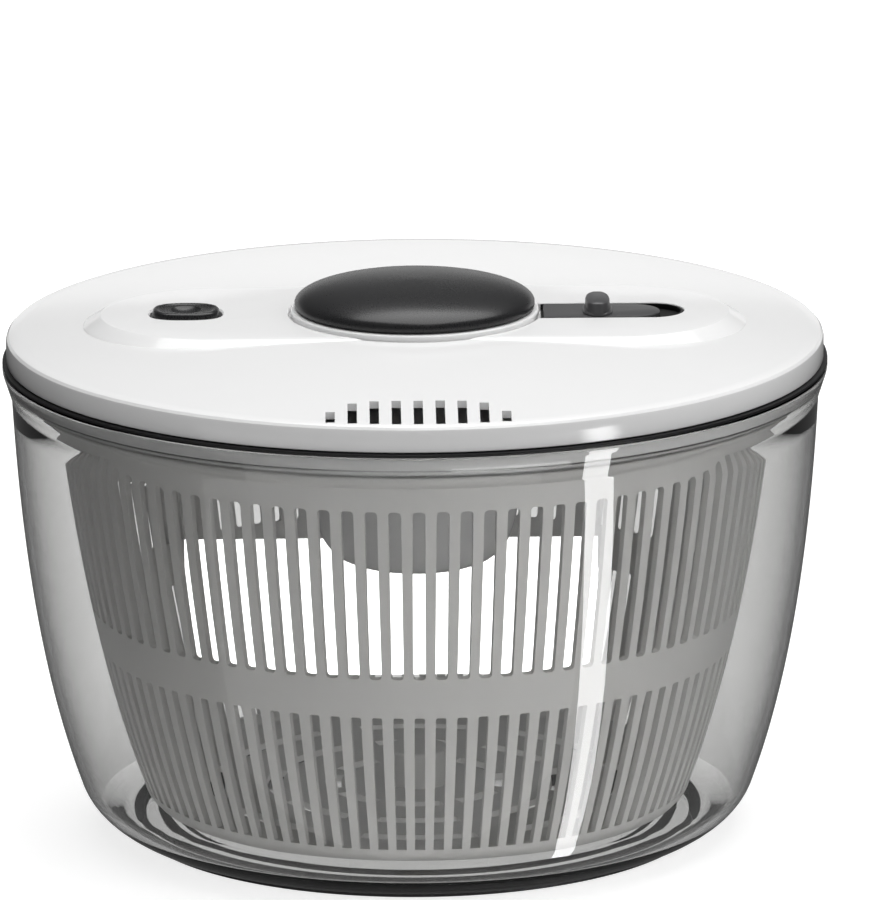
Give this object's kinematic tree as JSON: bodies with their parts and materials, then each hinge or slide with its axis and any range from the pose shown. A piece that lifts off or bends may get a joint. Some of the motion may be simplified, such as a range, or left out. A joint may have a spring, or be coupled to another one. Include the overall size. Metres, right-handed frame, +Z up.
{
  "type": "salad spinner",
  "caption": "Round press-pump salad spinner with a clear smoky bowl, a slotted white basket and a shallow domed lid that carries a pump knob, a latch and a brake button.",
  "frame": {"origin": "on the table, under the middle of the bowl", "axes": "+Z up along the bowl's axis, +X from the knob towards the latch, -Y towards the air vents in the lid"},
  "size_m": [0.252, 0.252, 0.1703],
  "materials": {
    "smoky_clear": "polished",
    "white_satin": "satin",
    "white_gloss": "gloss",
    "black_satin": "satin",
    "dark_grey": "satin",
    "black_rubber": "matte",
    "natural_pom": "satin",
    "steel": "brushed"
  },
  "bodies": {
    "bowl": {"bowl": "smoky_clear", "base_grip_ring": "black_rubber", "inner_grip_ring": "black_rubber"},
    "lid": {"lid_casing": "white_gloss", "lid_seal": "black_rubber", "latch_liner": "dark_grey", "bearing_ring": "natural_pom", "return_spring": "steel", "brake_spring": "steel"},
    "knob": {"knob_body": "white_gloss", "knob_cap": "black_satin", "knob_screw": "steel", "spiral_shaft": "natural_pom"},
    "nut": {"clutch_nut": "natural_pom"},
    "disc": {"drive_disc": "white_gloss", "drive_dome": "white_gloss", "clutch_cap": "white_satin", "clutch_washer": "steel", "spring_washer": "steel"},
    "latch": {"latch_slide": "dark_grey", "latch_bolt": "white_satin", "latch_screw": "steel"},
    "brake": {"brake_button": "black_satin", "brake_pad": "black_rubber"},
    "basket_carrier": {"basket_bearing": "natural_pom"},
    "basket": {"basket": "white_satin"}
  },
  "joints": [
    {"name": "lid_lift", "type": "slide", "parent": "bowl", "child": "lid", "axis": [0, 0, 1], "range_m": [0, 0.32]},
    {"name": "knob_pump", "type": "slide", "parent": "lid", "child": "knob", "axis": [0, 0, 1], "range_m": [0, 0.03], "deforming": ["return_spring"]},
    {"name": "nut_turn", "type": "hinge", "parent": "lid", "child": "nut", "pos_m": [0, 0, 0.12], "axis": [0, 0, 1], "range_deg": [-270, 0]},
    {"name": "disc_spin", "type": "hinge", "parent": "lid", "child": "disc", "pos_m": [0, 0, 0.135], "axis": [0, 0, 1], "continuous": true},
    {"name": "latch_slide", "type": "slide", "parent": "lid", "child": "latch", "axis": [1, 0, 0], "range_m": [0, 0.006]},
    {"name": "brake_press", "type": "slide", "parent": "lid", "child": "brake", "axis": [0, 0, -1], "range_m": [0, 0.003], "stiffness_N_per_m": 250, "springref_m": -0.002, "deforming": ["brake_spring"]},
    {"name": "basket_lift", "type": "slide", "parent": "bowl", "child": "basket_carrier", "axis": [0, 0, 1], "range_m": [0, 0.147]},
    {"name": "basket_spin", "type": "hinge", "parent": "basket_carrier", "child": "basket", "pos_m": [0, 0, 0.02], "axis": [0, 0, 1], "continuous": true}
  ],
  "couplings": [
    {"joint": "nut_turn", "follows": "knob_pump", "rad_per_m": -157.08},
    {"joint": "basket_lift", "follows": "lid_lift", "ratio": 0.459},
    {"joint": "basket_spin", "follows": "disc_spin", "ratio": 1}
  ]
}
